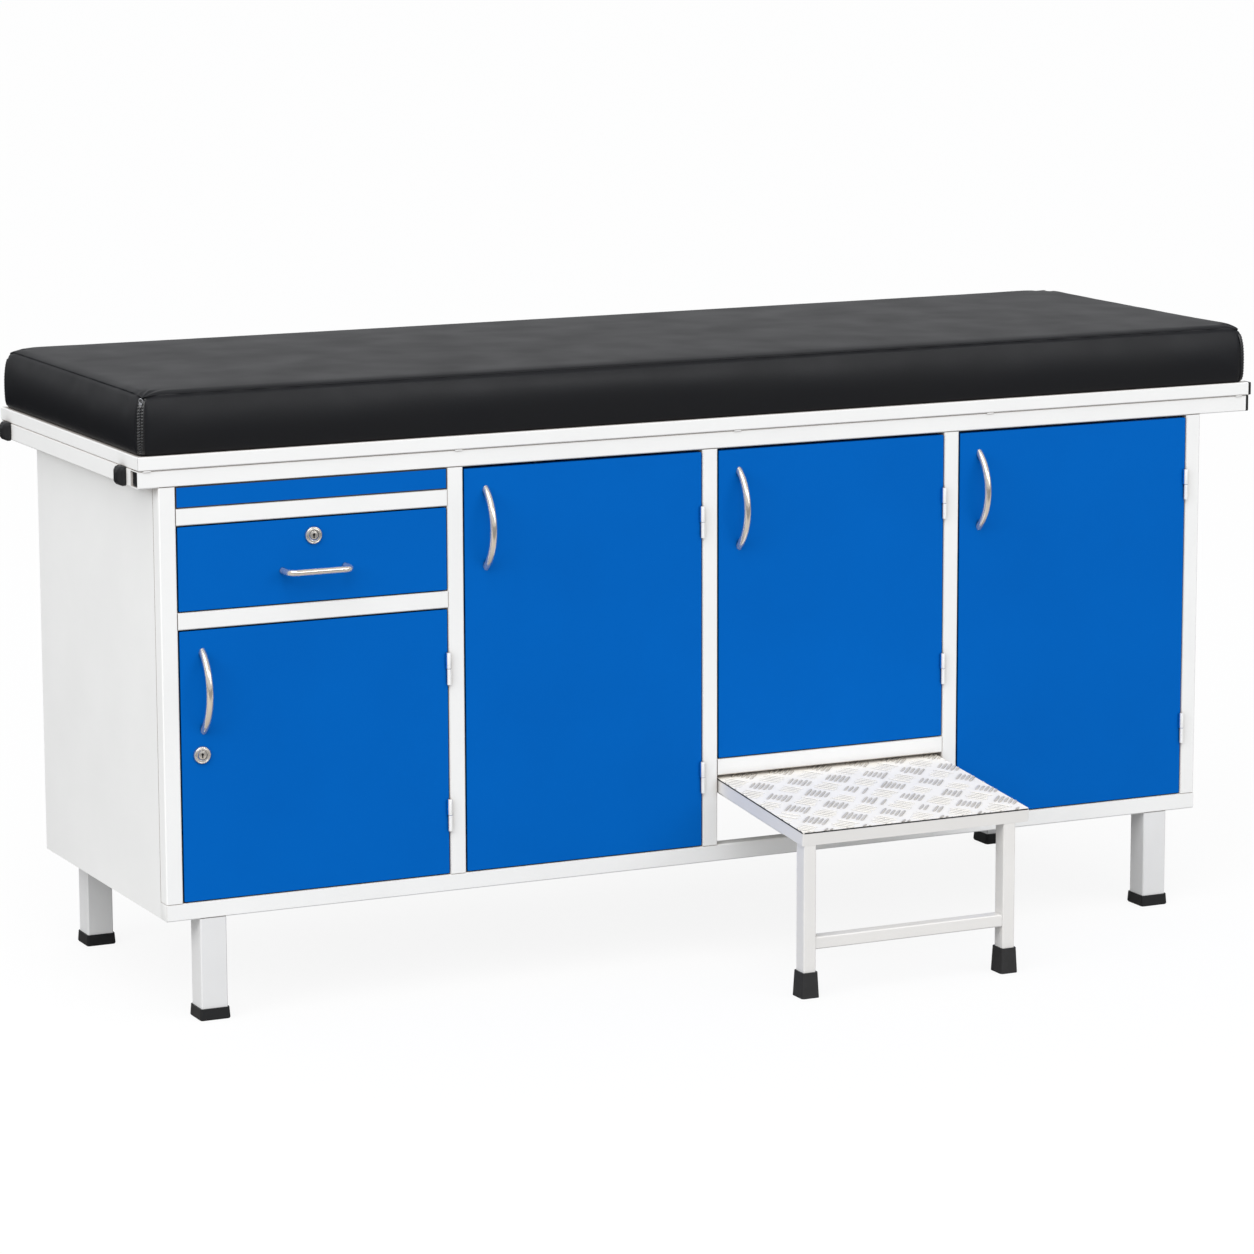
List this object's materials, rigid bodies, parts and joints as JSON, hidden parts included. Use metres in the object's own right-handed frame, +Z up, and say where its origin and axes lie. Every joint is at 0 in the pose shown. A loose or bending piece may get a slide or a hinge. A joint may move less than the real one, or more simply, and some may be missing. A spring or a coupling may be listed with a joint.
{
  "type": "examination table with cabinet and step",
  "caption": "Clinic examination table: black padded top on a white steel cabinet with blue doors, a locking drawer and a pull-out step.",
  "frame": {"origin": "on the floor, under the middle of the bounding box with the step pulled out", "axes": "+X along the table, to the right of someone facing the doors; +Y from the doors to the back; +Z up"},
  "size_m": [1.8428, 0.8774, 0.9122],
  "materials": {
    "white_paint": "white powder coat, satin",
    "blue_paint": "blue powder coat, satin",
    "black_vinyl": "black vinyl-coated fabric over foam, fine grain",
    "plywood": "plain plywood",
    "black_plastic": "moulded black plastic",
    "black_rubber": "moulded black rubber",
    "satin_steel": "satin steel",
    "zinc_steel": "zinc plated steel",
    "tread_aluminium": "five-bar tread plate"
  },
  "bodies": {
    "cabinet": {"leg_front_left": "white_paint", "leg_front_right": "white_paint", "leg_rear_left": "white_paint", "leg_rear_right": "white_paint", "leg_cap_front_left": "black_plastic", "leg_cap_front_right": "black_plastic", "leg_cap_rear_left": "black_plastic", "leg_cap_rear_right": "black_plastic", "bottom_rail_front": "white_paint", "bottom_rail_rear": "white_paint", "stile_left": "white_paint", "mullion_1": "white_paint", "mullion_2": "white_paint", "mullion_3": "white_paint", "stile_right": "white_paint", "drawer_rail_upper": "white_paint", "drawer_rail_lower": "white_paint", "step_rail": "white_paint", "side_panel_left": "white_paint", "side_panel_right": "white_paint", "back_panel": "white_paint", "partition_1": "white_paint", "partition_2": "white_paint", "partition_3": "white_paint", "cupboard_floor_left": "white_paint", "cupboard_floor_middle": "white_paint", "cupboard_floor_right": "white_paint", "filler_strip": "blue_paint", "top_rail_front": "white_paint", "top_rail_rear": "white_paint", "top_rail_left": "white_paint", "top_rail_right": "white_paint", "sub_rail_front": "white_paint", "sub_rail_rear": "white_paint", "sub_rail_left": "white_paint", "sub_rail_right": "white_paint", "sub_rail_middle": "white_paint", "mattress_board": "plywood", "mattress": "black_vinyl", "end_bumper_front": "black_plastic", "end_bumper_rear": "black_plastic"},
    "lower_door": {"door_1": "blue_paint", "door_handle_1": "satin_steel"},
    "second_door": {"door_2": "blue_paint", "door_handle_2": "satin_steel"},
    "third_door": {"door_3": "blue_paint", "door_handle_3": "satin_steel"},
    "fourth_door": {"door_4": "blue_paint", "door_handle_4": "satin_steel"},
    "door_lock_plug": {"door_lock": "satin_steel"},
    "drawer": {"drawer_front": "blue_paint", "drawer_box": "white_paint", "drawer_handle": "satin_steel"},
    "drawer_lock_plug": {"drawer_lock": "satin_steel"},
    "step_carriage": {"step_axle": "zinc_steel"},
    "step": {"step_plate": "tread_aluminium", "step_frame": "white_paint", "step_crossbar": "white_paint", "step_foot_left": "black_rubber", "step_foot_right": "black_rubber"}
  },
  "joints": [
    {"name": "lower_door_swing", "type": "hinge", "parent": "cabinet", "child": "lower_door", "pos_m": [-0.4396, -0.16754, 0.4], "axis": [0, 0, 1], "range_deg": [0, 110]},
    {"name": "second_door_swing", "type": "hinge", "parent": "cabinet", "child": "second_door", "pos_m": [-0.0286, -0.16754, 0.4], "axis": [0, 0, 1], "range_deg": [0, 90]},
    {"name": "third_door_swing", "type": "hinge", "parent": "cabinet", "child": "third_door", "pos_m": [0.3804, -0.16754, 0.4], "axis": [0, 0, 1], "range_deg": [0, 110]},
    {"name": "fourth_door_swing", "type": "hinge", "parent": "cabinet", "child": "fourth_door", "pos_m": [0.8094, -0.16754, 0.4], "axis": [0, 0, 1], "range_deg": [0, 110]},
    {"name": "drawer_slide", "type": "slide", "parent": "cabinet", "child": "drawer", "axis": [0, -1, 0], "range_m": [0, 0.33]},
    {"name": "door_lock_turn", "type": "hinge", "parent": "lower_door", "child": "door_lock_plug", "pos_m": [-0.8206, -0.16434, 0.3885], "axis": [0, 1, 0], "range_deg": [0, 90]},
    {"name": "drawer_lock_turn", "type": "hinge", "parent": "drawer", "child": "drawer_lock_plug", "pos_m": [-0.6461, -0.16434, 0.6925], "axis": [0, -1, 0], "range_deg": [0, 90]},
    {"name": "step_slide", "type": "slide", "parent": "cabinet", "child": "step_carriage", "axis": [0, 1, 0], "range_m": [0, 0.23]},
    {"name": "step_tip", "type": "hinge", "parent": "step_carriage", "child": "step", "pos_m": [0.1894, -0.12634, 0.2677], "axis": [-1, 0, 0], "range_deg": [0, 5.8]}
  ]
}
